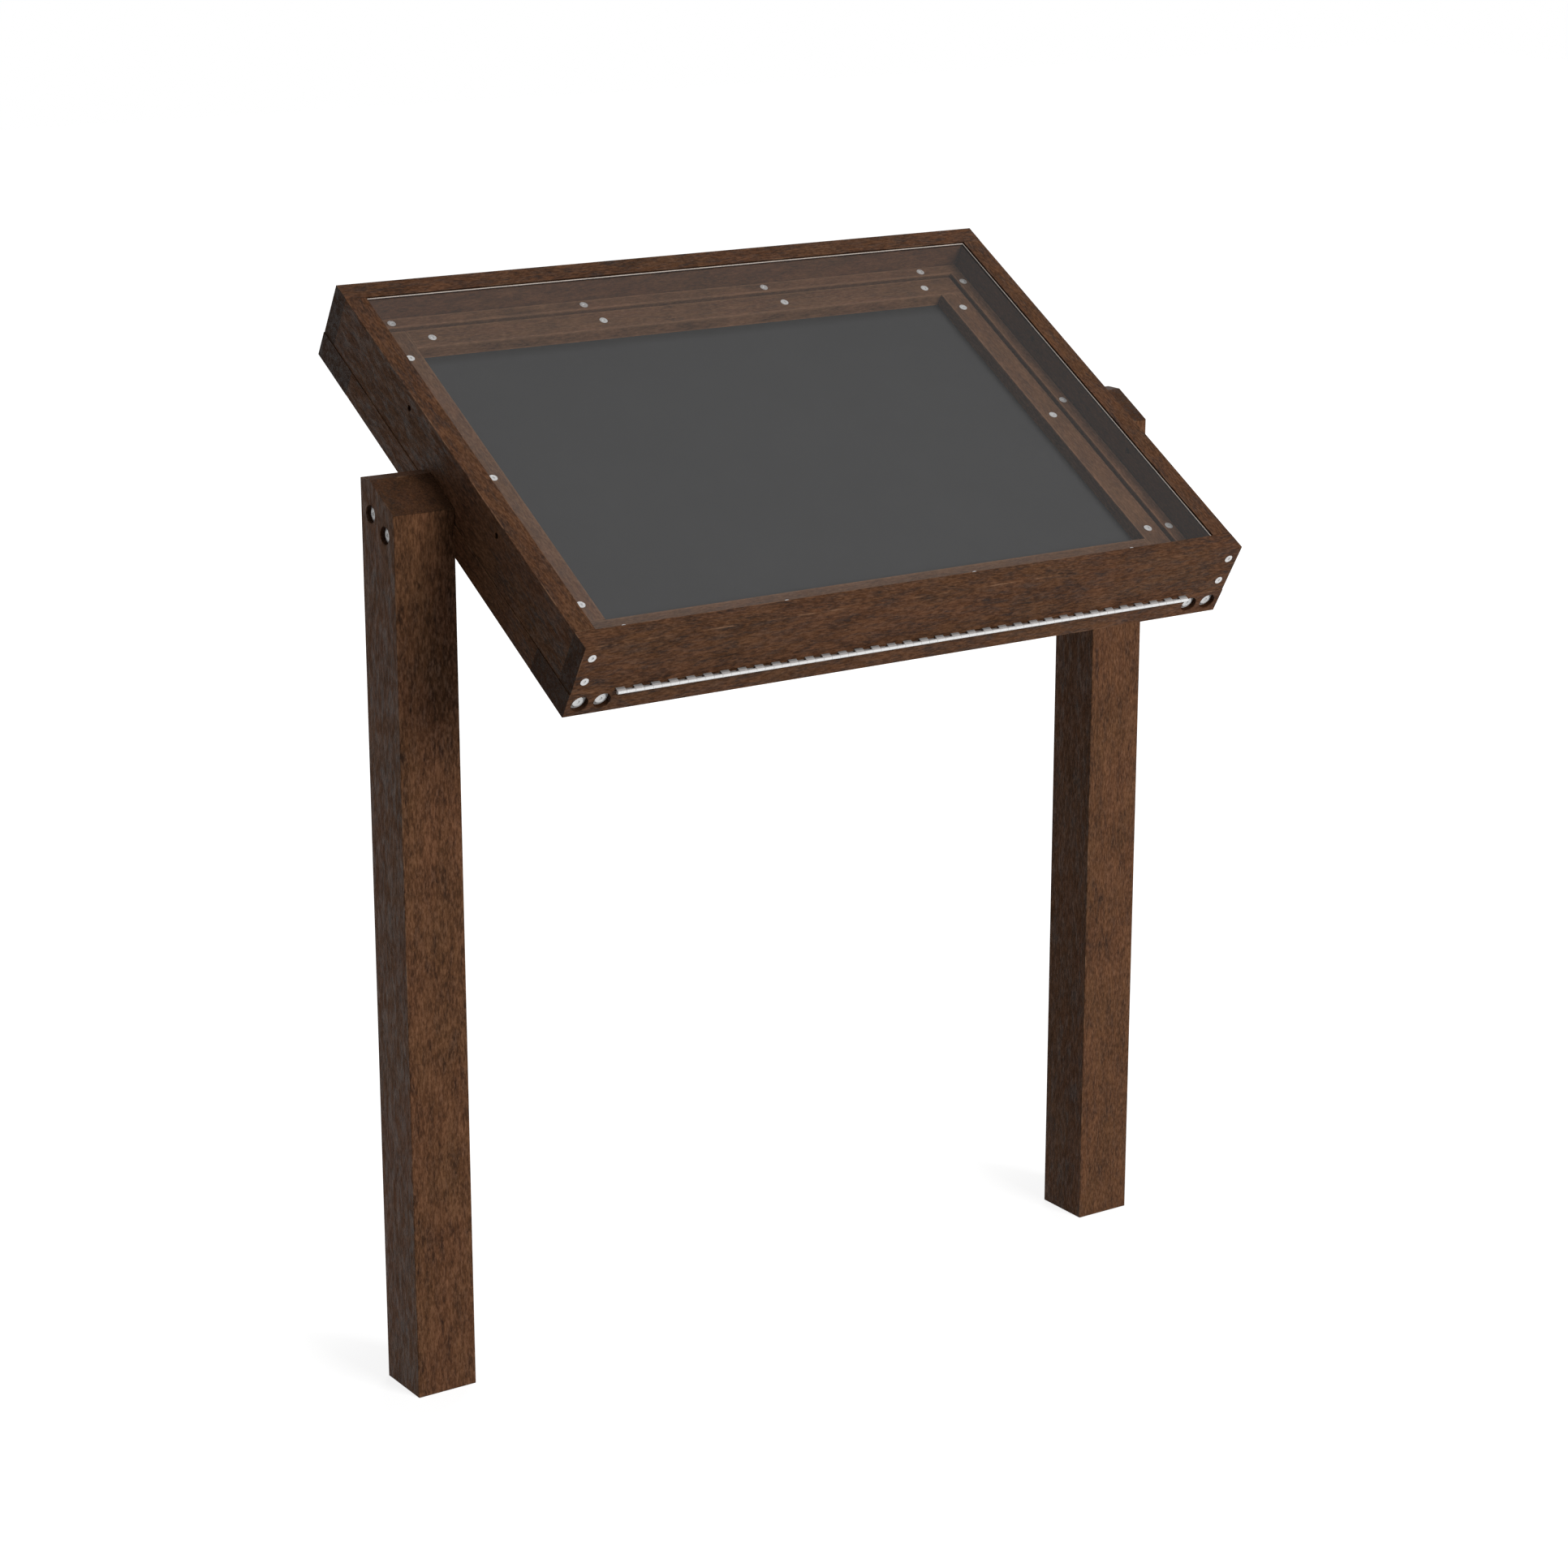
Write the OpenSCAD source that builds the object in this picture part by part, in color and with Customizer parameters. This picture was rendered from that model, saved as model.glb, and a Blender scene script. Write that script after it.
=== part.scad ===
// Sloping notice board on two posts.
// A shallow case lies at reading slope between two square posts. Its base is a frame of flat
// planks that carries the pinboard; its lid is a frame of boards on edge that holds the pane
// and swings on a continuous hinge along the low front edge.
//
// The case is drawn lying flat: X runs across it, Y runs up its slope from the front face of
// the base, and Z stands square to it from the underside of the base. in_case() tilts it into
// place. The origin is on the ground, midway between the outermost faces.

/* [Case] */
// Width of the case across its base planks
case_w = 1000; // [840:10:1300]
// Depth of the case along its slope
case_d = 700; // [560:10:900]
// Slope of the case from the horizontal
tilt = 30; // [20:1:38]
// Height of the case's lower front edge above the ground
front_h = 955; // [700:5:1100]

/* [Base planks] */
// Thickness of the planks that lie flat under the case
base_t = 36; // [30:0.5:45]
// Width of those planks
plank_w = 85; // [82:1:104]

/* [Lid] */
// Thickness of the boards that stand on edge round the lid
lid_t = 29; // [24:0.5:36]
// Height of those boards
lid_h = 74; // [70:1:90]
// Space between the closed lid and the base
seam_gap = 0.2; // [0.1:0.1:1]
// Space between each end of the lid and the post beside it
lid_side_gap = 1; // [0.5:0.25:2]
// Diameter of the vent holes in the lid's side boards
vent_d = 8; // [5:0.5:10]
// Height of the vent holes above the lid's underside
vent_h = 55; // [50:0.5:57]
// Distance between the two vent holes of a side board
vent_pitch = 246; // [120:2:320]

/* [Pane] */
// Thickness of the clear pane
pane_t = 4; // [3:0.5:6]
// Depth of the pane's upper face below the lid's top
pane_lip = 2.6; // [2:0.1:5]
// Depth of the groove that holds the pane's edge
groove_d = 8; // [5:0.5:12]
// Play of the pane in the height of its groove
pane_play = 0.4; // [0.2:0.1:0.6]
// Play of the pane at the bottom of its groove
pane_edge_gap = 1; // [0.5:0.25:2]

/* [Display] */
// Thickness of the upstand boards that stand on the base inside the lid
upstand_t = 18; // [16:0.5:24]
// Height of the upstand above the base planks
upstand_h = 36.5; // [34:0.5:42]
// Space between the upstand and the lid round it
upstand_gap = 2; // [1.5:0.25:4]
// Thickness of the sheet that closes the case from below
backing_t = 3; // [2:0.5:5]
// Thickness of the pinboard
pinboard_t = 9; // [6:0.5:12]
// Space round the edges of the pinboard and its backing sheet
board_gap = 1; // [0.5:0.25:3]
// Width of the battens that hold the pinboard down
batten_w = 36; // [32:0.5:44]
// Thickness of those battens
batten_t = 18; // [14:0.5:20]
// Space between the battens and the upstand
batten_gap = 0.5; // [0.2:0.1:1]

/* [Posts] */
// Side of the square posts
post_side = 84; // [76:1:110]
// Height, square to the slope, by which a post's sloped top stands above the base planks
post_cheek = 18.5; // [10:0.5:24]
// Width of the level flat at the back of a post's top
post_flat = 24; // [10:1:40]

/* [Hinge] */
// Diameter of the hinge pin
pin_d = 2.2; // [1.8:0.1:2.6]
// Thickness of the hinge leaves
leaf_t = 1.2; // [1:0.1:1.5]
// Width of a leaf from the pin's axis to its far edge
leaf_w = 24; // [20:0.5:28]
// Distance of the pin's axis in front of the case
pin_proud = 5.7; // [4.5:0.1:8]
// Least distance from an end of the case to the end of the hinge
hinge_end = 59; // [50:1:150]
// Pitch of the knuckles
knuckle_pitch = 12.3; // [9:0.1:16]
// Space between neighbouring knuckles
knuckle_gap = 0.3; // [0.2:0.05:0.6]
// Radial space between the pin and the knuckles
pin_play = 0.1; // [0.05:0.01:0.15]
// Number of screws in each leaf
leaf_screws = 9; // [5:1:11]

/* [Small screws] */
// Head diameter of the countersunk screws in the boards
csk_head_d = 11; // [9:0.2:13]
// Shank diameter of those screws
csk_shank_d = 5.5; // [4:0.1:6]
// Length of the screws at the lid's corners
lid_screw_l = 70; // [55:1:90]
// Distance between the two screws at a lid corner
lid_screw_pitch = 37; // [24:1:44]
// Length of the screws down through the upstand
upstand_screw_l = 60; // [52:1:66]
// Length of the screws down through the battens
batten_screw_l = 48; // [40:1:52]
// Head diameter of the hinge screws
leaf_head_d = 6.4; // [5:0.2:7]
// Shank diameter of the hinge screws
leaf_shank_d = 3.5; // [3:0.1:4]
// Length of the hinge screws
leaf_screw_l = 20; // [14:1:24]
// Across-corners size of their hexagon sockets
socket_d = 4.2; // [2.5:0.1:5]
// Depth of the hexagon sockets
socket_depth = 1; // [0.8:0.1:2]

/* [Large screws] */
// Diameter of the counterbores for the large screws
bore_d = 23.4; // [23:0.1:26]
// Depth of those counterbores
bore_depth = 8; // [6:0.5:12]
// Diameter of the large screws' low heads
bolt_head_d = 16.4; // [15:0.2:19]
// Height of those heads
bolt_head_h = 2.2; // [2:0.1:3.5]
// Diameter of the washers under them
washer_d = 22.4; // [20:0.2:22.6]
// Thickness of those washers
washer_t = 1.5; // [1:0.25:2.5]
// Shank diameter of the screws through the base planks
plank_shank_d = 8; // [6:0.5:10]
// Length of the screws through the base planks
plank_screw_l = 130; // [110:1:150]
// Distance between the two screws at a base corner
plank_screw_pitch = 31; // [28:1:38]
// Shank diameter of the bolts through the posts
post_shank_d = 10; // [8:0.5:12]
// Distance between the two bolts in a post
post_bolt_pitch = 41; // [30:1:46]

/* [Edges] */
// Chamfer along the edges of the planks, boards and battens
edge_c = 0.3; // [0.2:0.1:1]
// Chamfer along the edges of the posts
post_c = 0.8; // [0.3:0.1:3]
// Radial space round the shanks and heads of all screws
screw_gap = 0.2; // [0.1:0.05:0.3]

/* [Hidden] */

lumber = [0.35, 0.235, 0.17];
steel = [0.82, 0.82, 0.83];
felt = [0.20, 0.20, 0.21];
sheet = [0.28, 0.28, 0.29];
clear_sheet = [0.80, 0.84, 0.86, 0.35];

// How far a cut runs past a face
over = 1;
// Facets of the round cuts and revolved pieces
$fn = 48;

case_h = base_t + seam_gap + lid_h;
lid_z = base_t + seam_gap;
lid_w = case_w - 2 * lid_side_gap;
lid_in_w = lid_w - 2 * lid_t;
lid_in_d = case_d - 2 * lid_t;

// Outer sizes of the two rings that stand on the base, inside the lid
upstand_w = lid_in_w - 2 * upstand_gap;
upstand_d = lid_in_d - 2 * upstand_gap;
well_w = upstand_w - 2 * upstand_t;
well_d = upstand_d - 2 * upstand_t;
batten_ring_w = well_w - 2 * batten_gap;
batten_ring_d = well_d - 2 * batten_gap;
pinboard_z = base_t + backing_t;
batten_z = pinboard_z + pinboard_t;

pane_top = case_h - pane_lip;
groove_h = pane_t + pane_play;

// The lid's leaf lies against the lid's underside and folds into a shallow rebate in the base.
// The base's leaf lies below it in a saw kerf. Their outer faces lie a little inside the
// knuckles.
knuckle_r = pin_d / 2 + pin_play + leaf_t;
knuckle_step = 0.1;
pin_z = lid_z - knuckle_r + knuckle_step;
lid_leaf_z = lid_z - leaf_t;
base_leaf_z = pin_z - knuckle_r + knuckle_step;
// An odd number of knuckles, so that both end knuckles belong to the lid
knuckles = 2 * floor((case_w - 2 * hinge_end) / knuckle_pitch / 2) + 1;
hinge_l = knuckles * knuckle_pitch;
// Space past the ends and the far edge of the leaves, and over their inner faces
recess_end = 1;
leaf_play = 0.1;
// Radial space round the heads of the base leaf's screws, which are put in from above
access_gap = 1;
// How far inside the seam the plates of the leaves begin; only the knuckles' tabs reach out
tab_root = 3.5;

// Large screws bear on washers that lie at the bottom of the counterbores
seat_depth = bore_depth - washer_t;
// Line of the upstand's screws, from the case's middle. The screws at the base's corners
// straddle it, and the bolts of the posts end short of it.
upstand_line = upstand_w / 2 - upstand_t / 2;
plank_screw_shift = 6.5;
bolt_end_gap = 1.2;
post_bolt_l = case_w / 2 + post_side - seat_depth - upstand_line - csk_shank_d / 2 - bolt_end_gap;

// Places of screws along a ring board, from its through end, as shares of the run between
// the end screws: three screws in each short board, four in each long one
short_shares = [0, 0.5, 1];
upstand_shares = [0, 0.315, 0.657, 1];
batten_shares = [0, 0.302, 0.671, 1];
// Distance of the end screws from a ring board's through end and from its butted end
upstand_margins = [65, 20];
batten_margins = [54, 31];

// Place in the upright frame of a point of the case's side view
function up_y(y, z) = y * cos(tilt) - z * sin(tilt);
function up_z(y, z) = front_h + y * sin(tilt) + z * cos(tilt);

// Everything moves back by this much, so that the origin lies midway front to back
mid_y = (up_y(case_d, 0) + up_y(0, case_h)) / 2;
post_mid_y = up_y(case_d / 2, base_t / 2) - mid_y;
post_front_y = post_mid_y - post_side / 2;
// Height at which the plane of a post's sloped top passes its front face
cheek_z = base_t + post_cheek;
post_front_z = front_h + (post_front_y + mid_y) * tan(tilt) + cheek_z / cos(tilt);
post_h = post_front_z + (post_side - post_flat) * tan(tilt);

module in_case() {
  translate([0, -mid_y, front_h]) rotate([tilt, 0, 0]) children();
}

// Outline of a board's section, w wide and t thick, with chamfered edges
module section(w, t, c) {
  polygon([[c, 0], [w - c, 0], [w, c], [w, t - c], [w - c, t], [c, t], [0, t - c], [0, c]]);
}

// Board along X from the origin, its width along Y and its thickness along Z
module board_x(l, w, t, c = edge_c) {
  rotate([90, 0, 90]) linear_extrude(l) section(w, t, c);
}

// Board along Y from the origin, its width along X
module board_y(l, w, t, c = edge_c) {
  translate([0, l, 0]) rotate([90, 0, 0]) linear_extrude(l) section(w, t, c);
}

// Countersunk screw: its head is flush with z = 0 and its shank points down
module csk_screw(head_d, shank_d, l) {
  rim = 0.4;
  cone_h = (head_d - shank_d) / 2;
  tip_h = shank_d;
  difference() {
    rotate_extrude() polygon([
      [0, 0], [head_d / 2, 0], [head_d / 2, -rim], [shank_d / 2, -rim - cone_h],
      [shank_d / 2, tip_h - l], [0, -l]
    ]);
    translate([0, 0, -min(socket_depth, cone_h)])
      cylinder(d = min(socket_d, head_d / 2), h = socket_depth + over, $fn = 6);
  }
}

// Hole that a countersunk screw fits
module csk_hole(head_d, shank_d, l) {
  rim = 0.4;
  g = screw_gap;
  cone_h = (head_d - shank_d) / 2;
  rotate_extrude() polygon([
    [0, over], [head_d / 2 + g, over], [head_d / 2 + g, -rim - g],
    [shank_d / 2 + g, -rim - g - cone_h], [shank_d / 2 + g, -l - g], [0, -l - g]
  ]);
}

// Large screw with a low domed head, seated on its washer at z = 0
module pan_screw(shank_d, l) {
  r = bolt_head_d / 2;
  dome = [for (a = [0 : 18 : 90]) [r * (0.72 + 0.28 * cos(a)), bolt_head_h * (0.5 + 0.5 * sin(a))]];
  tip_h = shank_d;
  difference() {
    rotate_extrude() polygon(concat(
      [[0, -l], [shank_d / 2, tip_h - l], [shank_d / 2, 0], [r, 0]],
      dome, [[0, bolt_head_h]]
    ));
    translate([0, 0, bolt_head_h - socket_depth])
      cylinder(d = 1.3 * socket_d, h = socket_depth + over, $fn = 6);
  }
}

module washer(hole_d) {
  difference() {
    cylinder(d = washer_d, h = washer_t);
    translate([0, 0, -over]) cylinder(d = hole_d + 2 * screw_gap, h = washer_t + 2 * over);
  }
}

// Counterbored hole for a large screw: z = 0 is the face of the wood
module bore_hole(shank_d, l) {
  translate([0, 0, -bore_depth]) cylinder(d = bore_d, h = bore_depth + over);
  translate([0, 0, -seat_depth - l - screw_gap])
    cylinder(d = shank_d + 2 * screw_gap, h = l);
}

// Ring of four boards, each butted against the next: side 0 is the front one, then the
// right, back and left ones. ring_w and ring_d are the ring's outer sizes.
function ring_run(side, ring_w, ring_d) = side % 2 == 0 ? ring_w : ring_d;
module ring_side(side, ring_w, ring_d) {
  run = ring_run(side, ring_w, ring_d);
  depth = ring_run(side + 1, ring_w, ring_d);
  translate([0, case_d / 2, 0]) rotate(90 * side) translate([-run / 2, -depth / 2, 0]) children();
}

// Places of the screws along one ring board
function ring_places(side, l, margins, long_shares) = [
  for (s = side % 2 == 0 ? long_shares : short_shares)
    margins[0] + s * (l - margins[0] - margins[1])
];
module ring_screws(side, ring_w, ring_d, board_w, margins, long_shares) {
  l = ring_run(side, ring_w, ring_d) - board_w;
  ring_side(side, ring_w, ring_d) for (x = ring_places(side, l, margins, long_shares))
    translate([x, board_w / 2, 0]) children();
}

module upstand_screw_places(side) {
  ring_screws(side, upstand_w, upstand_d, upstand_t, upstand_margins, upstand_shares)
    translate([0, 0, base_t + upstand_h]) children();
}
module batten_screw_places(side) {
  ring_screws(side, batten_ring_w, batten_ring_d, batten_w, batten_margins, batten_shares)
    translate([0, 0, batten_z + batten_t]) children();
}

// Holes that the screws of both rings leave in the base planks
module ring_holes() {
  for (side = [0 : 3]) {
    upstand_screw_places(side) csk_hole(csk_head_d, csk_shank_d, upstand_screw_l);
    batten_screw_places(side) csk_hole(csk_head_d, csk_shank_d, batten_screw_l);
  }
}

// Both faces of a corner joint: front screws point up the slope, back screws down it
module front_and_back() {
  rotate([90, 0, 0]) children();
  translate([0, case_d, 0]) rotate([-90, 0, 0]) children();
}

module lid_screw_places() {
  for (side = [-1, 1], k = [-1, 1])
    translate([side * (lid_w - lid_t) / 2, 0, lid_z + lid_h / 2 + k * lid_screw_pitch / 2])
      front_and_back() children();
}

module plank_screw_places() {
  for (side = [-1, 1], k = [-1, 1]) {
    x = upstand_line + plank_screw_shift + k * plank_screw_pitch / 2;
    translate([side * x, 0, base_t / 2]) front_and_back() children();
  }
}

module post_bolt_places() {
  for (side = [-1, 1], k = [-1, 1])
    translate([side * (case_w / 2 + post_side), case_d / 2 + k * post_bolt_pitch / 2, base_t / 2])
      rotate([0, 90 * side, 0]) children();
}

module leaf_screw_places() {
  end = 3 * knuckle_pitch;
  step = (hinge_l - 2 * end) / (leaf_screws - 1);
  for (k = [0 : leaf_screws - 1])
    translate([end - hinge_l / 2 + k * step, (tab_root + leaf_w - pin_proud) / 2, 0]) children();
}
module base_leaf_screws() {
  leaf_screw_places() translate([0, 0, base_leaf_z + leaf_t]) children();
}
module lid_leaf_screws() {
  leaf_screw_places() translate([0, 0, lid_leaf_z]) mirror([0, 0, 1]) children();
}

module post(side) {
  x = side * (case_w + post_side) / 2;
  difference() {
    translate([x - post_side / 2, post_front_y, 0])
      linear_extrude(post_h) section(post_side, post_side, post_c);
    translate([x - post_side, post_front_y, post_front_z]) rotate([tilt, 0, 0])
      translate([0, -2 * post_side, 0]) cube([2 * post_side, 4 * post_side, 2 * post_side]);
    in_case() post_bolt_places() bore_hole(post_shank_d, post_bolt_l);
  }
}

module left_post() {
  color(lumber) post(-1);
}

module right_post() {
  color(lumber) post(1);
}

module cross_plank(y) {
  difference() {
    translate([-case_w / 2, y, 0]) board_x(case_w, plank_w, base_t);
    plank_screw_places() bore_hole(plank_shank_d, plank_screw_l);
    ring_holes();
    leaf_cut(lid_leaf_z - leaf_play, base_t);
    leaf_cut(base_leaf_z, leaf_t + leaf_play);
    base_leaf_screws() csk_hole(leaf_head_d, leaf_shank_d, leaf_screw_l);
    base_leaf_screws() cylinder(d = leaf_head_d + 2 * access_gap, h = base_t);
  }
}

// Cut h high into the front edge of the front plank, where a leaf lies
module leaf_cut(z, h) {
  translate([-hinge_l / 2 - recess_end, -over, z])
    cube([hinge_l + 2 * recess_end, leaf_w - pin_proud + recess_end + over, h]);
}

module base_front_plank() {
  color(lumber) in_case() cross_plank(0);
}

module base_back_plank() {
  color(lumber) in_case() cross_plank(case_d - plank_w);
}

module side_rail(side) {
  x = side < 0 ? -case_w / 2 : case_w / 2 - plank_w;
  difference() {
    translate([x, plank_w, 0]) board_y(case_d - 2 * plank_w, plank_w, base_t);
    plank_screw_places() bore_hole(plank_shank_d, plank_screw_l);
    post_bolt_places() bore_hole(post_shank_d, post_bolt_l);
    ring_holes();
  }
}

module base_left_rail() {
  color(lumber) in_case() side_rail(-1);
}

module base_right_rail() {
  color(lumber) in_case() side_rail(1);
}

// Sheet that fills the well inside the upstand, drilled for the battens' screws
module well_sheet(z, t) {
  difference() {
    translate([board_gap - well_w / 2, board_gap + (case_d - well_d) / 2, z])
      cube([well_w - 2 * board_gap, well_d - 2 * board_gap, t]);
    for (side = [0 : 3]) batten_screw_places(side)
      csk_hole(csk_head_d, csk_shank_d, batten_screw_l);
  }
}

module backing_sheet() {
  color(sheet) in_case() well_sheet(base_t, backing_t);
}

module pinboard() {
  color(felt) in_case() well_sheet(pinboard_z, pinboard_t);
}

module upstand(side) {
  color(lumber) in_case() difference() {
    ring_side(side, upstand_w, upstand_d) translate([0, 0, base_t])
      board_x(ring_run(side, upstand_w, upstand_d) - upstand_t, upstand_t, upstand_h);
    upstand_screw_places(side) csk_hole(csk_head_d, csk_shank_d, upstand_screw_l);
  }
}

module batten(side) {
  color(lumber) in_case() difference() {
    ring_side(side, batten_ring_w, batten_ring_d) translate([0, 0, batten_z])
      board_x(ring_run(side, batten_ring_w, batten_ring_d) - batten_w, batten_w, batten_t);
    batten_screw_places(side) csk_hole(csk_head_d, csk_shank_d, batten_screw_l);
  }
}

// Space that the pane's groove takes out of the lid's boards
module pane_groove() {
  w = lid_in_w + 2 * groove_d;
  d = lid_in_d + 2 * groove_d;
  translate([-w / 2, (case_d - d) / 2, pane_top - groove_h]) cube([w, d, groove_h]);
}

module cross_board(y) {
  difference() {
    translate([-lid_w / 2, y, lid_z]) board_x(lid_w, lid_t, lid_h);
    pane_groove();
    lid_screw_places() csk_hole(csk_head_d, csk_shank_d, lid_screw_l);
    lid_leaf_screws() csk_hole(leaf_head_d, leaf_shank_d, leaf_screw_l);
  }
}

module lid_front_board() {
  color(lumber) in_case() cross_board(0);
}

module lid_back_board() {
  color(lumber) in_case() cross_board(case_d - lid_t);
}

module side_board(side) {
  x = side < 0 ? -lid_w / 2 : lid_w / 2 - lid_t;
  difference() {
    translate([x, lid_t, lid_z]) board_y(lid_in_d, lid_t, lid_h);
    pane_groove();
    lid_screw_places() csk_hole(csk_head_d, csk_shank_d, lid_screw_l);
    for (k = [-1, 1]) translate([x - over, case_d / 2 + k * vent_pitch / 2, lid_z + vent_h])
      rotate([0, 90, 0]) cylinder(d = vent_d, h = lid_t + 2 * over);
  }
}

module lid_left_board() {
  color(lumber) in_case() side_board(-1);
}

module lid_right_board() {
  color(lumber) in_case() side_board(1);
}

module pane() {
  reach = groove_d - pane_edge_gap;
  w = lid_in_w + 2 * reach;
  d = lid_in_d + 2 * reach;
  color(clear_sheet) in_case()
    translate([-w / 2, (case_d - d) / 2, pane_top - groove_h]) cube([w, d, pane_t]);
}

// Knuckles first, first + 2, ... with the tabs that join them to their leaf at leaf_z
module knuckle_row(first, leaf_z) {
  l = knuckle_pitch - knuckle_gap;
  for (k = [first : 2 : knuckles - 1])
    translate([-hinge_l / 2 + k * knuckle_pitch + knuckle_gap / 2, -pin_proud, 0]) {
      translate([0, 0, pin_z]) rotate([0, 90, 0]) cylinder(r = knuckle_r, h = l);
      translate([0, 0, leaf_z]) cube([l, pin_proud + tab_root + over, leaf_t]);
    }
}

module leaf(first, leaf_z) {
  difference() {
    union() {
      translate([-hinge_l / 2, tab_root, leaf_z])
        cube([hinge_l, leaf_w - pin_proud - tab_root, leaf_t]);
      knuckle_row(first, leaf_z);
    }
    translate([-hinge_l / 2 - over, -pin_proud, pin_z]) rotate([0, 90, 0])
      cylinder(r = pin_d / 2 + pin_play, h = hinge_l + 2 * over);
    children();
  }
}

module hinge_lid_leaf() {
  color(steel) in_case() leaf(0, lid_leaf_z)
    lid_leaf_screws() csk_hole(leaf_head_d, leaf_shank_d, leaf_screw_l);
}

module hinge_base_leaf() {
  color(steel) in_case() leaf(1, base_leaf_z)
    base_leaf_screws() csk_hole(leaf_head_d, leaf_shank_d, leaf_screw_l);
}

module hinge_pin() {
  color(steel) in_case() translate([-hinge_l / 2, -pin_proud, pin_z]) rotate([0, 90, 0])
    cylinder(d = pin_d, h = hinge_l);
}

module hinge_base_screws() {
  color(steel) in_case() base_leaf_screws() csk_screw(leaf_head_d, leaf_shank_d, leaf_screw_l);
}

module hinge_lid_screws() {
  color(steel) in_case() lid_leaf_screws() csk_screw(leaf_head_d, leaf_shank_d, leaf_screw_l);
}

module lid_corner_screws() {
  color(steel) in_case() lid_screw_places() csk_screw(csk_head_d, csk_shank_d, lid_screw_l);
}

module base_corner_screws() {
  color(steel) in_case() plank_screw_places() translate([0, 0, -seat_depth])
    pan_screw(plank_shank_d, plank_screw_l);
}

module base_corner_washers() {
  color(steel) in_case() plank_screw_places() translate([0, 0, -bore_depth])
    washer(plank_shank_d);
}

module upstand_screws() {
  color(steel) in_case() for (side = [0 : 3]) upstand_screw_places(side)
    csk_screw(csk_head_d, csk_shank_d, upstand_screw_l);
}

module batten_screws() {
  color(steel) in_case() for (side = [0 : 3]) batten_screw_places(side)
    csk_screw(csk_head_d, csk_shank_d, batten_screw_l);
}

module post_bolts() {
  color(steel) in_case() post_bolt_places() translate([0, 0, -seat_depth])
    pan_screw(post_shank_d, post_bolt_l);
}

module post_bolt_washers() {
  color(steel) in_case() post_bolt_places() translate([0, 0, -bore_depth])
    washer(post_shank_d);
}

left_post();
right_post();
base_front_plank();
base_back_plank();
base_left_rail();
base_right_rail();
backing_sheet();
pinboard();
upstand(0);  // upstand_front
upstand(1);  // upstand_right
upstand(2);  // upstand_back
upstand(3);  // upstand_left
batten(0);  // batten_front
batten(1);  // batten_right
batten(2);  // batten_back
batten(3);  // batten_left
lid_front_board();
lid_back_board();
lid_left_board();
lid_right_board();
pane();
hinge_base_leaf();
hinge_lid_leaf();
hinge_pin();
hinge_base_screws();
hinge_lid_screws();
lid_corner_screws();
base_corner_screws();
base_corner_washers();
upstand_screws();
batten_screws();
post_bolts();
post_bolt_washers();
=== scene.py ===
"""Looks of the sloping notice board: lumber, steel, pane and pinboard, with studio and camera."""

import math

import bpy
from mathutils import Matrix, Vector


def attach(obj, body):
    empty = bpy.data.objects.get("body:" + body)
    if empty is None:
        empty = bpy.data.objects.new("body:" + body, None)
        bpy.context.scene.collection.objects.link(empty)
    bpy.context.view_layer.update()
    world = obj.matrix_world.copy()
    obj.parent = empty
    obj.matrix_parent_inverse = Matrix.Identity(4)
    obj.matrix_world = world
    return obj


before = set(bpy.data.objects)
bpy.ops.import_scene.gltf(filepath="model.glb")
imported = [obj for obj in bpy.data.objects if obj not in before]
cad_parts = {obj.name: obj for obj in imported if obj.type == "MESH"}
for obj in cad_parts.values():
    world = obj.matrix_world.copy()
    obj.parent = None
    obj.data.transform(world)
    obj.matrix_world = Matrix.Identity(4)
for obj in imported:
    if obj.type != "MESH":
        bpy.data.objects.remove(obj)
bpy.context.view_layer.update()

# Camera, fitted to the corners of the case and the posts. Metres and degrees.
CAMERA_PLACE = (-2.6318, -3.9359, 2.0833)
CAMERA_DOWN = 15.965
CAMERA_TURN = 33.767
CAMERA_LENS = 84.99
CAMERA_SENSOR = 36

# Boards by the axis that their grain follows, in the frame that lies on the slope of the case
ACROSS = [
    "lid_front_board", "lid_back_board", "base_front_plank", "base_back_plank",
    "upstand_front", "upstand_back", "batten_front", "batten_back",
]
UP_SLOPE = [
    "lid_left_board", "lid_right_board", "base_left_rail", "base_right_rail",
    "upstand_left", "upstand_right", "batten_left", "batten_right",
]
UPRIGHT = ["left_post", "right_post"]
# Boards inside the case, kept from the weather and more even
SHELTERED = [
    "upstand_front", "upstand_right", "upstand_back", "upstand_left",
    "batten_front", "batten_right", "batten_back", "batten_left",
]
HINGE = ["hinge_base_leaf", "hinge_lid_leaf", "hinge_pin"]
SCREWS = [
    "hinge_base_screws", "hinge_lid_screws", "lid_corner_screws", "base_corner_screws",
    "base_corner_washers", "upstand_screws", "batten_screws", "post_bolts",
    "post_bolt_washers",
]

# Colours as linear RGB
LUMBER_DARK = (0.028, 0.0142, 0.0090)
LUMBER_BROWN = (0.092, 0.0415, 0.0205)
LUMBER_LIGHT = (0.175, 0.0820, 0.0420)
# Lighter colour at the edges: partly wear, partly a painted highlight
LUMBER_WORN_AND_LIT = (0.300, 0.1650, 0.0950)
# Colour deep in cuts and recesses: partly darker sawn lumber, partly painted shade
LUMBER_CUT_AND_SHADE = (0.036, 0.0140, 0.0060)
HINGE_GREY = (0.80, 0.80, 0.80)
SCREW_GREY = (0.71, 0.71, 0.71)
BEAD_GREY = (0.66, 0.58, 0.52)
FELT_GREY = (0.050, 0.050, 0.051)
SHEET_GREY = (0.060, 0.060, 0.062)
FLOOR_GREY = (0.36, 0.36, 0.36)

# What the lumber's colour is multiplied by where it drifts one way or the other, and the colour
# of its shine
REDDISH = (1.015, 0.99, 0.99)
OLIVE = (0.985, 1.00, 0.97)
SHEEN = (1.0, 0.93, 0.87)

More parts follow.
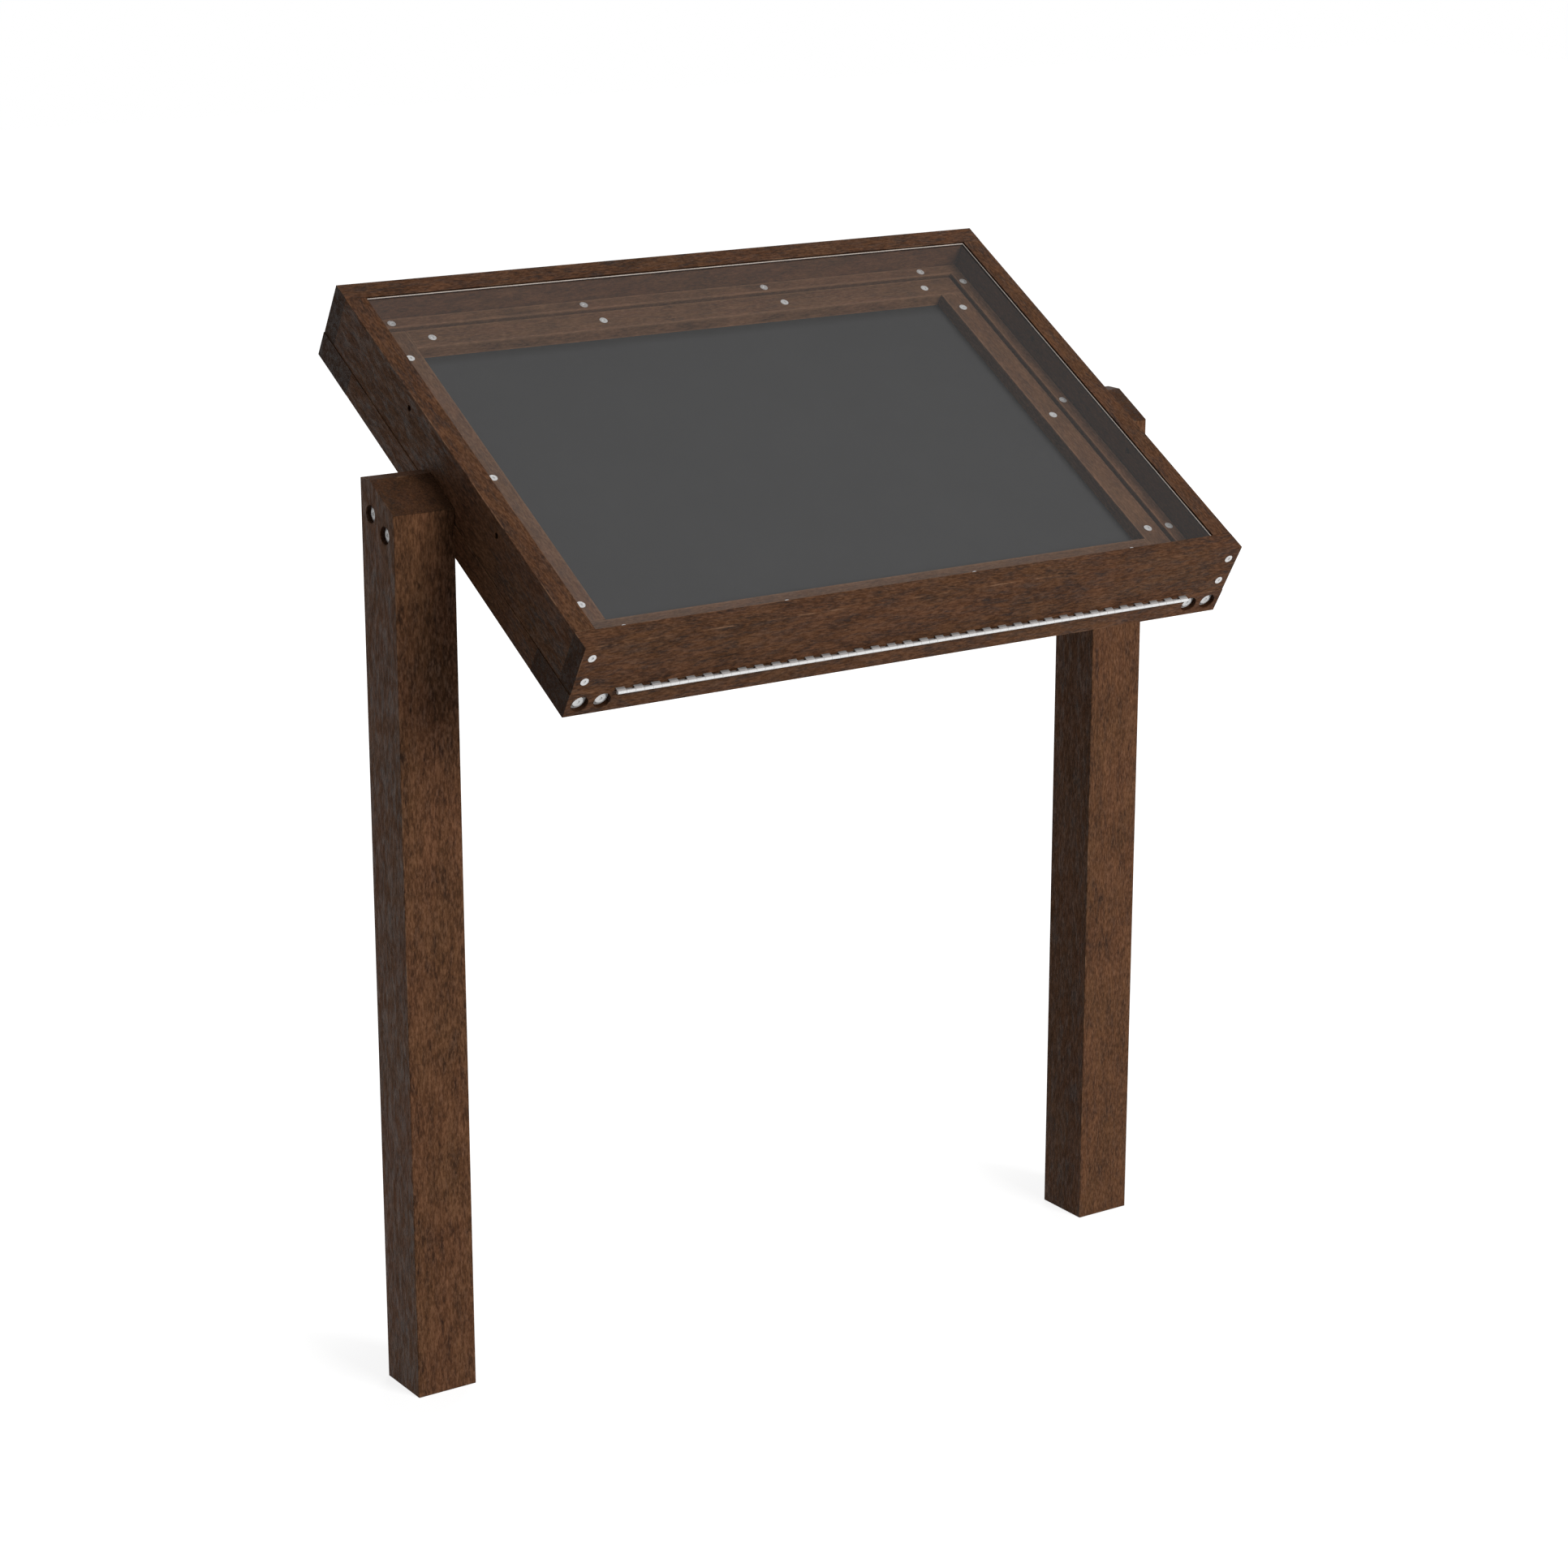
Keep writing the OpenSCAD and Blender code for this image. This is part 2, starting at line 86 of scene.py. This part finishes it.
# Marks in the lumber, as noise that is stretched so many times along the grain. The weight is
# how much a kind of mark counts in the tone.
THREADS = {
    "scale": 440, "stretch": 3.5, "detail": 3, "roughness": 0.65, "distortion": 0.4, "weight": 1.42,
}
STREAKS = {
    "scale": 140, "stretch": 4, "detail": 3, "roughness": 0.6, "distortion": 0.6, "weight": 1.10,
}
PATCHES = {
    "scale": 36, "stretch": 2, "detail": 3, "roughness": 0.55, "distortion": 0.3, "weight": 0.68,
}
DRIFTS = {"scale": 22, "stretch": 3, "detail": 2, "roughness": 0.5, "distortion": 0.0}
SCUFFS = {"scale": 55, "stretch": 2, "detail": 3, "roughness": 0.6, "distortion": 0.0}
# How far the grain is moved on from one board to the next
GRAIN_STEP = Vector((1.37, 2.11, 1.73))

# How the lumber differs on the case, the posts and the sheltered boards: what its colours are
# multiplied by, how strongly it shines, how strong its grain is and how light its sawn ends are
# The tints are painted shade and light: the same lumber is darker on the case and lighter and
# cooler on the sheltered boards than on the posts, to match how each is lit
CASE_LOOK = {"tint": (0.85, 0.84, 0.83), "gloss": 0.185, "contrast": 1.25, "ends": 0.38}
POST_LOOK = {"tint": (1.06, 1.06, 1.06), "gloss": 0.28, "contrast": 1.0, "ends": 0.52}
SHELTERED_LOOK = {"tint": (1.08, 1.17, 1.22), "gloss": 0.185, "contrast": 0.75, "ends": 0.50}

# Depths between which the lumber's look changes, in metres: under a sawn end, under any face into a
# cut or recess (partly painted shade), from an edge that is worn and lit (partly a painted
# highlight), and below an upstand's top (painted shade)
END_DEPTHS = (0.0002, 0.0008)
CUT_AND_SHADE_DEPTHS = (0.0008, 0.0020)
WORN_AND_LIT_DEPTHS = (0.0016, 0.0006)
SHELTERED_WORN_AND_LIT_DEPTHS = (0.0040, 0.0006)
UPSTAND_DEPTHS = (0.0030, 0.0010)
# Depths in the opening between the lid's boards. Their inner faces are at 0, their inside below 0.
INNER_DEPTHS = (-0.0004, -0.0001)
# Share of the worn colour right at an edge, partly wear and partly a painted highlight where the
# edge catches light
WEAR_AND_HIGHLIGHT = 0.55
SHELTERED_WEAR_AND_HIGHLIGHT = 0.20
# How light the lip over the pane and an upstand's sides are beside the rest: both are painted shade
LIP_LIGHT = 0.30
UPSTAND_LIGHT = 0.62
# Shine that the sawn ends and the lid's inner faces have left, and those faces' share of contrast
END_SHEEN = 0.22
INNER_SHEEN = (0.35, 0.35, 0.35)
INNER_CONTRAST = 0.6

# Painted shade on the hinge's leaves under the lid: how far in front of the seam it starts and is
# full, and how light it is
HINGE_SHADE_DEPTHS = (0.0045, 0.0015)
HINGE_SHADE_LIGHT = 0.45

# Painted shade on the felt along the back batten: how wide, and how light at the batten
FELT_SHADE_WIDTH = 0.022
FELT_SHADE_LIGHT = 0.58

# Lamps, with their level as the brightness of a white surface that faces them
KEY = {"place": (1.9, -6.8, 3.5), "target": (0, 0, 0.9), "size": 3.3, "level": 0.85}
FILL = {"place": (4.0, 4.6, 3.0), "target": (0, 0, 0.8), "size": 3.0, "level": 0.25}
# Strength of the surroundings' light
SKY_LEVEL = 0.19

# Width of the floor. Its glow close to a post and away from it, and the distances from the post
# between which it grows.
FLOOR_SIZE = 30
NEAR_GLOW = 0.835
FAR_GLOW = 1.0
GLOW_START = 0.08
GLOW_END = 0.40

# Faint veil of white that each face of the pane lays over what is behind it: a painted reflection
# of the white surroundings, made as a glow
PAINTED_REFLECTION_LEVEL = 0.0175

# Bead along the pane's border: its width and its height over the pane
BEAD_WIDTH = 0.0013
BEAD_HEIGHT = 0.0005


class Tree:
    """Node tree of a material or world, built one node at a time."""

    def __init__(self, owner):
        owner.use_nodes = True
        self.nodes = owner.node_tree.nodes
        self.links = owner.node_tree.links
        self.nodes.clear()

    def add(self, kind, inputs=None, **settings):
        """A node of that kind. inputs gives each socket a value or another node's output."""
        node = self.nodes.new("ShaderNode" + kind)
        for name, value in settings.items():
            setattr(node, name, value)
        for name, value in (inputs or {}).items():
            if isinstance(value, bpy.types.NodeSocket):
                self.links.new(value, node.inputs[name])
            else:
                node.inputs[name].default_value = value
        return node

    def place(self):
        """Place of the shaded point in the object's own frame."""
        return self.add("TexCoord").outputs["Object"]

    def lying(self, place, slope):
        """The place in the frame that lies on the slope."""
        return self.add("Mapping", {"Vector": place, "Rotation": (-slope, 0, 0)}).outputs["Vector"]

    def parts(self, vector):
        """The x, y and z of a vector."""
        return self.add("SeparateXYZ", {0: vector}).outputs

    def math(self, operation, a, b=0.0, c=0.0):
        return self.add("Math", {0: a, 1: b, 2: c}, operation=operation).outputs[0]

    def noise(self, vector, scale, detail=2.0, roughness=0.5, distortion=0.0):
        """Noise from 0 to 1, even over the surface."""
        node = self.add("TexNoise", {
            "Vector": vector, "Scale": scale, "Detail": detail, "Roughness": roughness,
            "Distortion": distortion,
        })
        return node.outputs["Fac"]

    def fade(self, value, start, end, low=0.0, high=1.0):
        """Goes smoothly from low to high while value goes from start to end."""
        node = self.add("MapRange", {
            "Value": value, "From Min": start, "From Max": end, "To Min": low, "To Max": high,
        }, interpolation_type="SMOOTHSTEP")
        return node.outputs["Result"]

    def ramp(self, factor, stops):
        """Colour ramp through (place, linear RGB) stops."""
        node = self.add("ValToRGB", {"Fac": factor})
        elements = node.color_ramp.elements
        while len(elements) < len(stops):
            elements.new(0.5)
        for element, (place, colour) in zip(elements, stops):
            element.position = place
            element.color = (*colour, 1)
        return node.outputs["Color"]

    def grey(self, value):
        """Grey of that level as a colour."""
        return self.add("CombineColor", {0: value, 1: value, 2: value}).outputs[0]

    def mix(self, factor, first, second, blend="MIX"):
        """Colour first turned into second by that factor."""
        node = self.add("MixRGB", {0: factor}, blend_type=blend)
        for socket, colour in ((node.inputs[1], first), (node.inputs[2], second)):
            if isinstance(colour, bpy.types.NodeSocket):
                self.links.new(colour, socket)
            else:
                socket.default_value = (*colour, 1)
        return node.outputs[0]

    def times(self, colour, other):
        """The colour multiplied by another."""
        return self.mix(1.0, colour, other, "MULTIPLY")

    def finish(self, shader):
        self.add("OutputMaterial", {"Surface": shader})


def shade(colour, factor):
    """The colour made darker or lighter by that factor."""
    return tuple(factor * part for part in colour)


def tinted(colour, tint):
    """The colour multiplied by a tint."""
    return tuple(part * times for part, times in zip(colour, tint))


def slope_of_case():
    """Angle of the case from the horizontal, read from the pane's widest face."""
    widest = max(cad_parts["pane"].data.polygons, key=lambda p: p.area)
    normal = widest.normal if widest.normal.z > 0 else -widest.normal
    return math.atan2(-normal.y, normal.z)


def turned_points(name, slope):
    """Corners of a CAD node in the frame that lies on the slope."""
    turn = Matrix.Rotation(-slope, 3, "X")
    return [turn @ vertex.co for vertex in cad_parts[name].data.vertices]


def outer_box(name, slope):
    """Lowest and highest corner of a CAD node in the frame that lies on the slope."""
    points = turned_points(name, slope)
    low = Vector([min(point[axis] for point in points) for axis in range(3)])
    high = Vector([max(point[axis] for point in points) for axis in range(3)])
    return low, high


def lid_opening(tilt):
    """Box between the inner faces of the lid's boards, from the pane's upper face to their top."""
    left = outer_box("lid_left_board", tilt)[1].x
    right = outer_box("lid_right_board", tilt)[0].x
    front = outer_box("lid_front_board", tilt)[1].y
    back, top = outer_box("lid_back_board", tilt)
    pane_top = outer_box("pane", tilt)[1].z
    return Vector((left, front, pane_top)), Vector((right, back.y, top.z))


def side_depths(tree, place, low, high):
    """For each axis, how deep a point lies under the nearer of a box's two faces."""
    middle = (low + high) / 2
    half = (high - low) / 2
    parts = tree.parts(place)
    depths = []
    for axis in range(3):
        offset = tree.math("ABSOLUTE", tree.math("SUBTRACT", parts[axis], middle[axis]))
        depths.append(tree.math("SUBTRACT", half[axis], offset))
    return depths


def sloped_top_depth(tree, place, name, tilt):
    """How deep a point lies under the sloped top of a post."""
    upwards = Vector((0, -math.sin(tilt), math.cos(tilt)))
    highest = max(upwards.dot(point) for point in turned_points(name, 0))
    level = tree.add("VectorMath", {0: place, 1: upwards}, operation="DOT_PRODUCT")
    return tree.math("SUBTRACT", highest, level.outputs["Value"])


def inner_faces(tree, place, name, tilt):
    """1 on the faces of the lid's boards that look into the case, and 1 above the pane on them."""
    if not name.startswith("lid_"):
        return 0.0, 0.0
    depths = side_depths(tree, place, *lid_opening(tilt))
    inside = tree.fade(tree.math("MINIMUM", depths[0], depths[1]), *INNER_DEPTHS)
    lip = tree.math("MULTIPLY", inside, tree.fade(depths[2], *INNER_DEPTHS))
    return inside, lip


def two_least(tree, values):
    """The least and the second least of some values."""
    least = values[0]
    second = 10.0
    for value in values[1:]:
        second = tree.math("MINIMUM", second, tree.math("MAXIMUM", least, value))
        least = tree.math("MINIMUM", least, value)
    return least, second


def depths_in_board(tree, place, name, axis, slope, tilt):
    """How deep a point of a board lies under its nearest face, from an edge and from an end."""
    depths = side_depths(tree, place, *outer_box(name, slope))
    end_depth = depths[axis]
    if name in UPRIGHT:
        top_depth = sloped_top_depth(tree, place, name, tilt)
        depths.append(top_depth)
        end_depth = tree.math("MINIMUM", end_depth, top_depth)
    depth, edge_depth = two_least(tree, depths)
    return depth, edge_depth, end_depth


def look_of(name):
    """How the lumber of a board looks."""
    if name in UPRIGHT:
        return POST_LOOK
    if name in SHELTERED:
        return SHELTERED_LOOK
    return CASE_LOOK


def marks(tree, place, axis, kind):
    """Marks of one kind, stretched along the grain."""
    scale = [1.0, 1.0, 1.0]
    scale[axis] = 1 / kind["stretch"]
    stretched = tree.add("Mapping", {"Vector": place, "Scale": scale}).outputs["Vector"]
    return tree.noise(
        stretched, kind["scale"], kind["detail"], kind["roughness"], kind["distortion"],
    )


def grain_tone(tree, threads, streaks, patches, contrast):
    """Tone of the grain: 0.5 on average, less where it is dark and more where it is light."""
    tone = tree.math("MULTIPLY", threads, THREADS["weight"])
    tone = tree.math("MULTIPLY_ADD", streaks, STREAKS["weight"], tone)
    tone = tree.math("MULTIPLY_ADD", patches, PATCHES["weight"], tone)
    average = (THREADS["weight"] + STREAKS["weight"] + PATCHES["weight"]) / 2
    return tree.math("MULTIPLY_ADD", tree.math("SUBTRACT", tone, average), contrast, 0.50)


def wear_and_highlight_of(tree, grain_place, name, axis, edge_depth):
    """How worn and lit a board's edges are, partly wear and partly a painted highlight: in scuffs
    outside the case, evenly and faintly inside it.
    """
    if name in SHELTERED:
        return tree.fade(edge_depth, *SHELTERED_WORN_AND_LIT_DEPTHS, high=SHELTERED_WEAR_AND_HIGHLIGHT)
    scuffs = tree.fade(marks(tree, grain_place, axis, SCUFFS), 0.48, 0.66)
    return tree.math("MULTIPLY", scuffs, tree.fade(edge_depth, *WORN_AND_LIT_DEPTHS, high=WEAR_AND_HIGHLIGHT))


def sheen_of(tree, threads, inside, end_depth, lip_light):
    """Colour of the lumber's shine: dark between the light threads, on sawn ends and inside, and
    darkened on the lip over the pane as painted shade.
    """
    sheen = tree.grey(tree.fade(threads, 0.42, 0.66))
    sheen = tree.mix(inside, sheen, INNER_SHEEN)
    end_sheen = tree.fade(end_depth, *END_DEPTHS, END_SHEEN, 1.0)
    dulling_and_lip_shade = tree.grey(tree.math("MULTIPLY", end_sheen, lip_light))
    return tree.times(tree.times(sheen, dulling_and_lip_shade), SHEEN)


def lumber_material(name, axis, slope, tilt, seed):
    """Brown recycled lumber, streaked along one axis, dark in its cuts and recesses (partly painted
    shade) and worn and lit at its edges (partly a painted highlight), with painted shade on the lip
    over the pane and on the upstands' sides.
    """
    material = bpy.data.materials.new("lumber_" + name)
    tree = Tree(material)
    look = look_of(name)
    place = tree.lying(tree.place(), slope)
    depth, edge_depth, end_depth = depths_in_board(tree, place, name, axis, slope, tilt)
    inside, lip = inner_faces(tree, place, name, tilt)
    # Painted shade on the lid's inner faces above the pane
    lip_light = tree.fade(lip, 0.0, 1.0, 1.0, LIP_LIGHT)

    moved = tree.add("Mapping", {"Vector": place, "Location": GRAIN_STEP * seed})
    grain_place = moved.outputs["Vector"]
    threads = marks(tree, grain_place, axis, THREADS)
    streaks = marks(tree, grain_place, axis, STREAKS)
    patches = marks(tree, grain_place, axis, PATCHES)
    drifts = marks(tree, grain_place, axis, DRIFTS)
    contrast = tree.fade(inside, 0.0, 1.0, look["contrast"], INNER_CONTRAST * look["contrast"])
    tone = grain_tone(tree, threads, streaks, patches, contrast)

    # Tinted by the look: painted shade on the case, painted light on the sheltered boards
    colour = tree.ramp(tone, [
        (0.05, tinted(LUMBER_DARK, look["tint"])),
        (0.50, tinted(LUMBER_BROWN, look["tint"])),
        (1.00, tinted(LUMBER_LIGHT, look["tint"])),
    ])
    colour = tree.times(colour, tree.ramp(drifts, [(0.38, REDDISH), (0.62, OLIVE)]))
    # Lighter edges: partly wear, partly a painted highlight where the edges catch light
    colour = tree.mix(wear_and_highlight_of(tree, grain_place, name, axis, edge_depth), colour, LUMBER_WORN_AND_LIT)
    # Darker sawn ends, and painted shade on the lip over the pane
    end_light = tree.fade(end_depth, *END_DEPTHS, look["ends"], 1.0)
    colour = tree.times(colour, tree.grey(tree.math("MULTIPLY", end_light, lip_light)))
    # Painted shade on an upstand's sides below its top
    if name.startswith("upstand_"):
        top = outer_box(name, tilt)[1].z
        start, end = UPSTAND_DEPTHS
        painted_shade = tree.fade(tree.parts(place)[2], top - start, top - end, UPSTAND_LIGHT, 1.0)
        colour = tree.times(colour, tree.grey(painted_shade))
    # Darker lumber in cuts and recesses: partly sawn lumber, partly painted shade
    colour = tree.mix(tree.fade(depth, *CUT_AND_SHADE_DEPTHS), colour, LUMBER_CUT_AND_SHADE)

    bump = tree.add("Bump", {"Height": tone, "Strength": 0.4, "Distance": 0.0005})
    shader = tree.add("BsdfPrincipled", {
        "Base Color": colour,
        "Roughness": tree.fade(streaks, 0.3, 0.7, low=0.52, high=0.76),
        "Normal": bump.outputs["Normal"],
        "Specular IOR Level": look["gloss"],
        "Specular Tint": sheen_of(tree, threads, inside, end_depth, lip_light),
    })
    tree.finish(shader.outputs[0])
    return material


def steel_material(name, grey, scale, tilt=None):
    """Dull zinc-plated steel with fine uneven brushing. With a tilt, it gets painted shade by the
    seam, under the lid.
    """
    material = bpy.data.materials.new(name)
    tree = Tree(material)
    place = tree.place()
    brushing = tree.noise(place, scale, detail=3, roughness=0.6)
    colour = tree.ramp(brushing, [(0.3, shade(grey, 0.88)), (0.7, grey)])
    # Painted shade on the hinge's leaves by the seam, under the lid
    if tilt is not None:
        seam = outer_box("base_front_plank", tilt)[0].y
        start, end = HINGE_SHADE_DEPTHS
        behind = tree.parts(tree.lying(place, tilt))[1]
        painted_shade = tree.fade(behind, seam - start, seam - end, 1.0, HINGE_SHADE_LIGHT)
        colour = tree.times(colour, tree.grey(painted_shade))
    bump = tree.add("Bump", {"Height": brushing, "Strength": 0.15, "Distance": 0.0001})
    shader = tree.add("BsdfPrincipled", {
        "Base Color": colour,
        "Metallic": 0.45,
        "Roughness": tree.fade(brushing, 0.3, 0.7, low=0.38, high=0.52),
        "Normal": bump.outputs["Normal"],
    })
    tree.finish(shader.outputs[0])
    return material


def felt_material(tilt):
    """Dark grey felt of the pinboard: short fibres, faint clouds, and painted shade along the back
    batten.
    """
    material = bpy.data.materials.new("felt")
    tree = Tree(material)
    place = tree.place()
    fibres = tree.noise(place, scale=1400, detail=3, roughness=0.7)
    clouds = tree.noise(place, scale=9, detail=2, roughness=0.5)
    tone = tree.math("MULTIPLY_ADD", fibres, 0.75, tree.math("MULTIPLY", clouds, 0.25))
    colour = tree.ramp(tone, [(0.25, shade(FELT_GREY, 0.86)), (0.75, shade(FELT_GREY, 1.14))])
    # Painted shade on the felt along the back batten
    batten = outer_box("batten_back", tilt)[0].y
    along = tree.parts(tree.lying(place, tilt))[1]
    batten_shade = tree.fade(along, batten - FELT_SHADE_WIDTH, batten, 1.0, FELT_SHADE_LIGHT)
    colour = tree.times(colour, tree.grey(batten_shade))
    bump = tree.add("Bump", {"Height": fibres, "Strength": 0.4, "Distance": 0.0003})
    shader = tree.add("BsdfPrincipled", {
        "Base Color": colour,
        "Roughness": 0.95,
        "Normal": bump.outputs["Normal"],
        "Specular IOR Level": 0.1,
        "Sheen Weight": 0.04,
    })
    tree.finish(shader.outputs[0])
    return material


def sheet_material():
    """Matt dark sheet under the pinboard, with a fine pressed grain."""
    material = bpy.data.materials.new("backing")
    tree = Tree(material)
    place = tree.place()
    grain = tree.noise(place, scale=600, detail=2, roughness=0.6)
    colour = tree.ramp(grain, [(0.3, shade(SHEET_GREY, 0.85)), (0.7, shade(SHEET_GREY, 1.15))])
    bump = tree.add("Bump", {"Height": grain, "Strength": 0.3, "Distance": 0.0002})
    shader = tree.add("BsdfPrincipled", {
        "Base Color": colour,
        "Roughness": 0.6,
        "Normal": bump.outputs["Normal"],
        "Specular IOR Level": 0.3,
    })
    tree.finish(shader.outputs[0])
    return material


def pane_material():
    """Clear thin sheet with a faint veil, a painted reflection of the white surroundings made as a
    glow. Light passes straight through, so the inside is lit.
    """
    material = bpy.data.materials.new("pane")
    tree = Tree(material)
    place = tree.place()
    haze = tree.noise(place, scale=6, detail=3, roughness=0.6)
    tint = tree.ramp(haze, [(0.3, (0.965, 0.965, 0.965)), (0.7, (0.975, 0.975, 0.975))])
    glass = tree.add("BsdfPrincipled", {
        "Base Color": tint,
        "Roughness": 0.0,
        "IOR": 1.0,
        "Transmission Weight": 1.0,
        # The emission is a painted reflection of the white surroundings
        "Emission Color": (1, 1, 1, 1),
        "Emission Strength": PAINTED_REFLECTION_LEVEL,
    })
    clear = tree.add("BsdfTransparent", {"Color": (0.97, 0.97, 0.97, 1)})
    path = tree.add("LightPath")
    lamps = tree.add("MixShader", {
        0: path.outputs["Is Shadow Ray"], 1: glass.outputs[0], 2: clear.outputs[0],
    })
    scattered = tree.add("MixShader", {
        0: path.outputs["Is Diffuse Ray"], 1: lamps.outputs[0], 2: clear.outputs[0],
    })
    tree.finish(scattered.outputs[0])
    return material


def bead_material():
    """Pale sealant along the pane's border."""
    material = bpy.data.materials.new("bead")
    tree = Tree(material)
    place = tree.place()
    lumps = tree.noise(place, scale=90, detail=3, roughness=0.6)
    colour = tree.ramp(lumps, [(0.3, shade(BEAD_GREY, 0.85)), (0.7, BEAD_GREY)])
    shader = tree.add("BsdfPrincipled", {
        "Base Color": colour,
        "Roughness": tree.fade(lumps, 0.3, 0.7, low=0.4, high=0.55),
    })
    tree.finish(shader.outputs[0])
    return material


def dress(nodes, material):
    """Puts the material on every slot of these CAD nodes."""
    for name in nodes:
        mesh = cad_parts[name].data
        mesh.materials.clear()
        mesh.materials.append(material)


def dress_lumber(tilt):
    """Gives every board its own lumber, with the grain along its length."""
    groups = [(ACROSS, 0, tilt), (UP_SLOPE, 1, tilt), (UPRIGHT, 2, 0.0)]
    seed = 0
    for names, axis, slope in groups:
        for name in names:
            seed += 1
            dress([name], lumber_material(name, axis, slope, tilt, seed))


def pane_bead(tilt):
    """Thin bead of sealant on the pane, along the inner faces of the lid's boards."""
    low, high = lid_opening(tilt)
    turn = Matrix.Rotation(tilt, 3, "X")

    def ring(inset, height):
        flat = [
            (low.x + inset, low.y + inset), (high.x - inset, low.y + inset),
            (high.x - inset, high.y - inset), (low.x + inset, high.y - inset),
        ]
        return [turn @ Vector((x, y, low.z + height)) for x, y in flat]

    rings = [
        ring(0, 0), ring(0, BEAD_HEIGHT), ring(BEAD_WIDTH / 2, BEAD_HEIGHT),
        ring(BEAD_WIDTH, 0.3 * BEAD_HEIGHT), ring(BEAD_WIDTH, 0),
    ]
    points = [point for corners in rings for point in corners]
    faces = []
    for level in range(len(rings)):
        above = (level + 1) % len(rings)
        for side in range(4):
            after = (side + 1) % 4
            faces.append((
                4 * level + side, 4 * above + side, 4 * above + after, 4 * level + after,
            ))
    mesh = bpy.data.meshes.new("pane_bead")
    mesh.from_pydata(points, [], faces)
    mesh.materials.append(bead_material())
    bead = bpy.data.objects.new("pane_bead", mesh)
    bpy.context.scene.collection.objects.link(bead)
    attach(bead, "lid")


def post_distance(tree, place):
    """Distance of a point of the floor from the middle of the nearer post."""
    low, high = outer_box("right_post", 0)
    middle = (low + high) / 2
    parts = tree.parts(place)
    beside = tree.math("SUBTRACT", tree.math("ABSOLUTE", parts[0]), middle.x)
    behind = tree.math("SUBTRACT", parts[1], middle.y)
    offset = tree.add("CombineXYZ", {0: beside, 1: behind}).outputs[0]
    return tree.add("VectorMath", {0: offset}, operation="LENGTH").outputs["Value"]


def seen_by_camera(tree):
    """1 for what the camera sees directly, in a reflection or through the pane, else 0."""
    path = tree.add("LightPath").outputs
    seen = tree.math("MAXIMUM", path["Is Camera Ray"], path["Is Transmission Ray"])
    return tree.math("MAXIMUM", seen, path["Is Glossy Ray"])


def floor():
    """Pale floor that glows to the camera, so that it shows white round a soft shadow."""
    bpy.ops.mesh.primitive_plane_add(size=FLOOR_SIZE)
    plane = bpy.context.object
    plane.name = "floor"
    material = bpy.data.materials.new("floor")
    tree = Tree(material)
    place = tree.place()
    mottle = tree.noise(place, scale=2.0, detail=2, roughness=0.5)
    colour = tree.ramp(mottle, [(0.3, shade(FLOOR_GREY, 0.98)), (0.7, FLOOR_GREY)])
    matt = tree.add("BsdfDiffuse", {"Color": colour})
    level = tree.fade(post_distance(tree, place), GLOW_START, GLOW_END, NEAR_GLOW, FAR_GLOW)
    glow = tree.add("Emission", {"Strength": tree.math("MULTIPLY", seen_by_camera(tree), level)})
    both = tree.add("AddShader", {0: matt.outputs[0], 1: glow.outputs[0]})
    tree.finish(both.outputs[0])
    plane.data.materials.append(material)


def lamp(name, place, target, size, level):
    """Square soft lamp. Its power gives a white surface at the target that brightness."""
    light = bpy.data.lights.new(name, "AREA")
    light.shape = "SQUARE"
    light.size = size
    towards = Vector(target) - Vector(place)
    light.energy = level * math.pi * math.pi * towards.length_squared
    holder = bpy.data.objects.new(name, light)
    holder.location = place
    holder.rotation_euler = towards.to_track_quat("-Z", "Y").to_euler()
    bpy.context.scene.collection.objects.link(holder)
    holder.visible_camera = False
    holder.visible_glossy = False
    holder.visible_transmission = False


def studio():
    """White surroundings to the camera and in reflections, dim grey light for the rest."""
    world = bpy.data.worlds.new("studio")
    bpy.context.scene.world = world
    tree = Tree(world)
    seen = seen_by_camera(tree)
    dim = tree.add("Background", {"Color": (1, 1, 1, 1), "Strength": SKY_LEVEL})
    white = tree.add("Background", {"Color": (1, 1, 1, 1), "Strength": 1.0})
    both = tree.add("MixShader", {0: seen, 1: dim.outputs[0], 2: white.outputs[0]})
    tree.add("OutputWorld", {"Surface": both.outputs[0]})
    lamp("key", **KEY)
    lamp("fill", **FILL)


def camera():
    """Camera at the photograph's viewpoint."""
    data = bpy.data.cameras.new("camera")
    data.sensor_width = CAMERA_SENSOR
    data.lens = CAMERA_LENS
    holder = bpy.data.objects.new("camera", data)
    holder.location = CAMERA_PLACE
    holder.rotation_euler = (math.radians(90 - CAMERA_DOWN), 0, math.radians(-CAMERA_TURN))
    bpy.context.scene.collection.objects.link(holder)
    bpy.context.scene.camera = holder


case_tilt = slope_of_case()
camera()
studio()
floor()
dress_lumber(case_tilt)
dress(HINGE, steel_material("hinge_steel", HINGE_GREY, scale=900, tilt=case_tilt))
dress(SCREWS, steel_material("screw_steel", SCREW_GREY, scale=500))
dress(["pinboard"], felt_material(case_tilt))
dress(["backing_sheet"], sheet_material())
dress(["pane"], pane_material())
pane_bead(case_tilt)
bpy.context.scene.view_settings.view_transform = "Standard"
